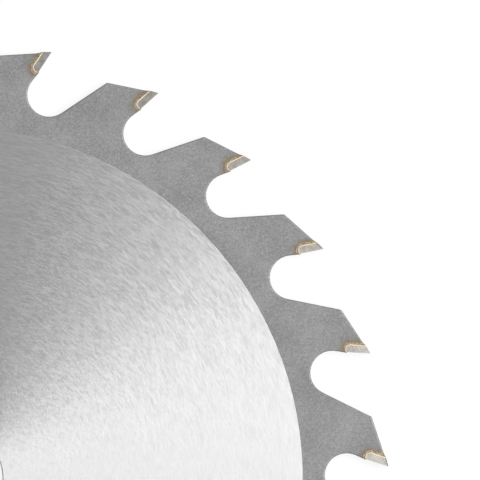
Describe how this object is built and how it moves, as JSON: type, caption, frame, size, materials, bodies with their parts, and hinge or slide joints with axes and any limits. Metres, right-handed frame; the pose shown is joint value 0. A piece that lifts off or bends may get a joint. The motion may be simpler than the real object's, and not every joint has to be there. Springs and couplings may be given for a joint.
{
  "type": "carbide-tipped circular saw blade",
  "caption": "Flat round steel saw blade for ripping wood, with a plain arbor bore, deep round gullets and brazed carbide tips whose tops are bevelled to alternate sides.",
  "frame": {"origin": "middle of the arbor bore, halfway through the plate", "axes": "+Z along the bore axis, towards the face from which the teeth cut clockwise; +X through the tip of the first tooth"},
  "size_m": [0.25, 0.25, 0.0032],
  "materials": {
    "blade_steel": "tool steel, bead-blasted matt grey rim and bright ground middle with fine circular grinding lines",
    "carbide": "ground tungsten carbide, pale warm grey, fine grinding lines",
    "braze": "silver braze, straw gold with brown heat stain, uneven satin surface"
  },
  "bodies": {
    "root": {"saw_plate": "blade_steel", "carbide_tip_01": "carbide", "carbide_tip_02": "carbide", "carbide_tip_03": "carbide", "carbide_tip_04": "carbide", "carbide_tip_05": "carbide", "carbide_tip_06": "carbide", "carbide_tip_07": "carbide", "carbide_tip_08": "carbide", "carbide_tip_09": "carbide", "carbide_tip_10": "carbide", "carbide_tip_11": "carbide", "carbide_tip_12": "carbide", "carbide_tip_13": "carbide", "carbide_tip_14": "carbide", "carbide_tip_15": "carbide", "carbide_tip_16": "carbide", "carbide_tip_17": "carbide", "carbide_tip_18": "carbide", "carbide_tip_19": "carbide", "carbide_tip_20": "carbide", "carbide_tip_21": "carbide", "carbide_tip_22": "carbide", "carbide_tip_23": "carbide", "carbide_tip_24": "carbide", "braze_seam_01": "braze", "braze_seam_02": "braze", "braze_seam_03": "braze", "braze_seam_04": "braze", "braze_seam_05": "braze", "braze_seam_06": "braze", "braze_seam_07": "braze", "braze_seam_08": "braze", "braze_seam_09": "braze", "braze_seam_10": "braze", "braze_seam_11": "braze", "braze_seam_12": "braze", "braze_seam_13": "braze", "braze_seam_14": "braze", "braze_seam_15": "braze", "braze_seam_16": "braze", "braze_seam_17": "braze", "braze_seam_18": "braze", "braze_seam_19": "braze", "braze_seam_20": "braze", "braze_seam_21": "braze", "braze_seam_22": "braze", "braze_seam_23": "braze", "braze_seam_24": "braze"}
  },
  "joints": []
}
